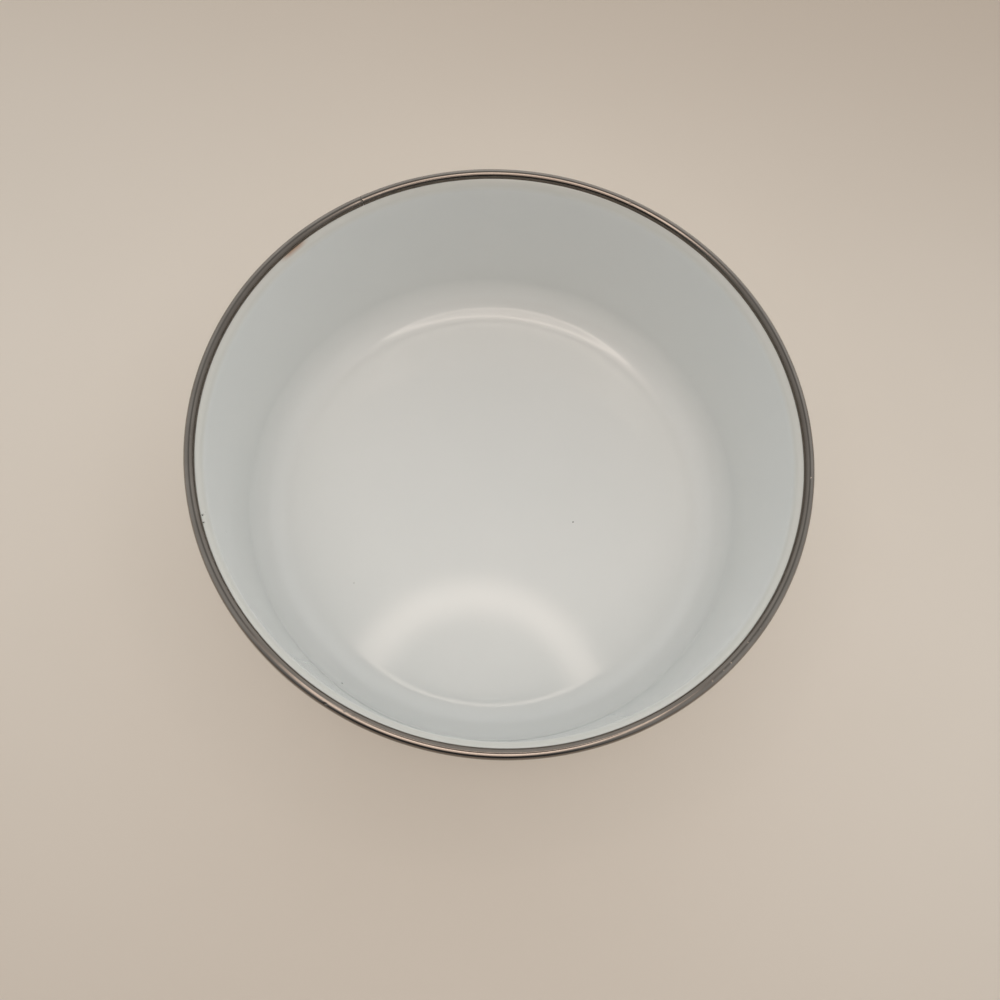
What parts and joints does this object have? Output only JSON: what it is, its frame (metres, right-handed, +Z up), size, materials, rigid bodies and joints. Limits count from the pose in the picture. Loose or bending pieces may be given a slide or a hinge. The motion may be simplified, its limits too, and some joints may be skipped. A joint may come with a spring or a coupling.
{
  "type": "enamel basin",
  "caption": "Round white enamelled-steel basin with steep sides, a flat floor, a rounded corner and a rolled stainless rim band, for washing, mixing or serving.",
  "frame": {"origin": "middle of the flat base, on the surface the basin stands on", "axes": "+Z up along the basin's axis; the rim band's joint lies at the back left, 131 degrees counter-clockwise from +X"},
  "size_m": [0.25, 0.25, 0.0935],
  "materials": {
    "sheet_steel": "cold-rolled sheet, pressed",
    "ground_enamel": "dark vitreous ground coat",
    "white_enamel": "glossy vitreous enamel, slightly cool white",
    "stainless_strip": "rolled stainless strip, lightly scuffed"
  },
  "bodies": {
    "root": {"steel_bowl": "sheet_steel", "inside_ground_coat": "ground_enamel", "outside_ground_coat": "ground_enamel", "inside_white_coat": "white_enamel", "outside_white_coat": "white_enamel", "rim_band": "stainless_strip"}
  },
  "joints": []
}
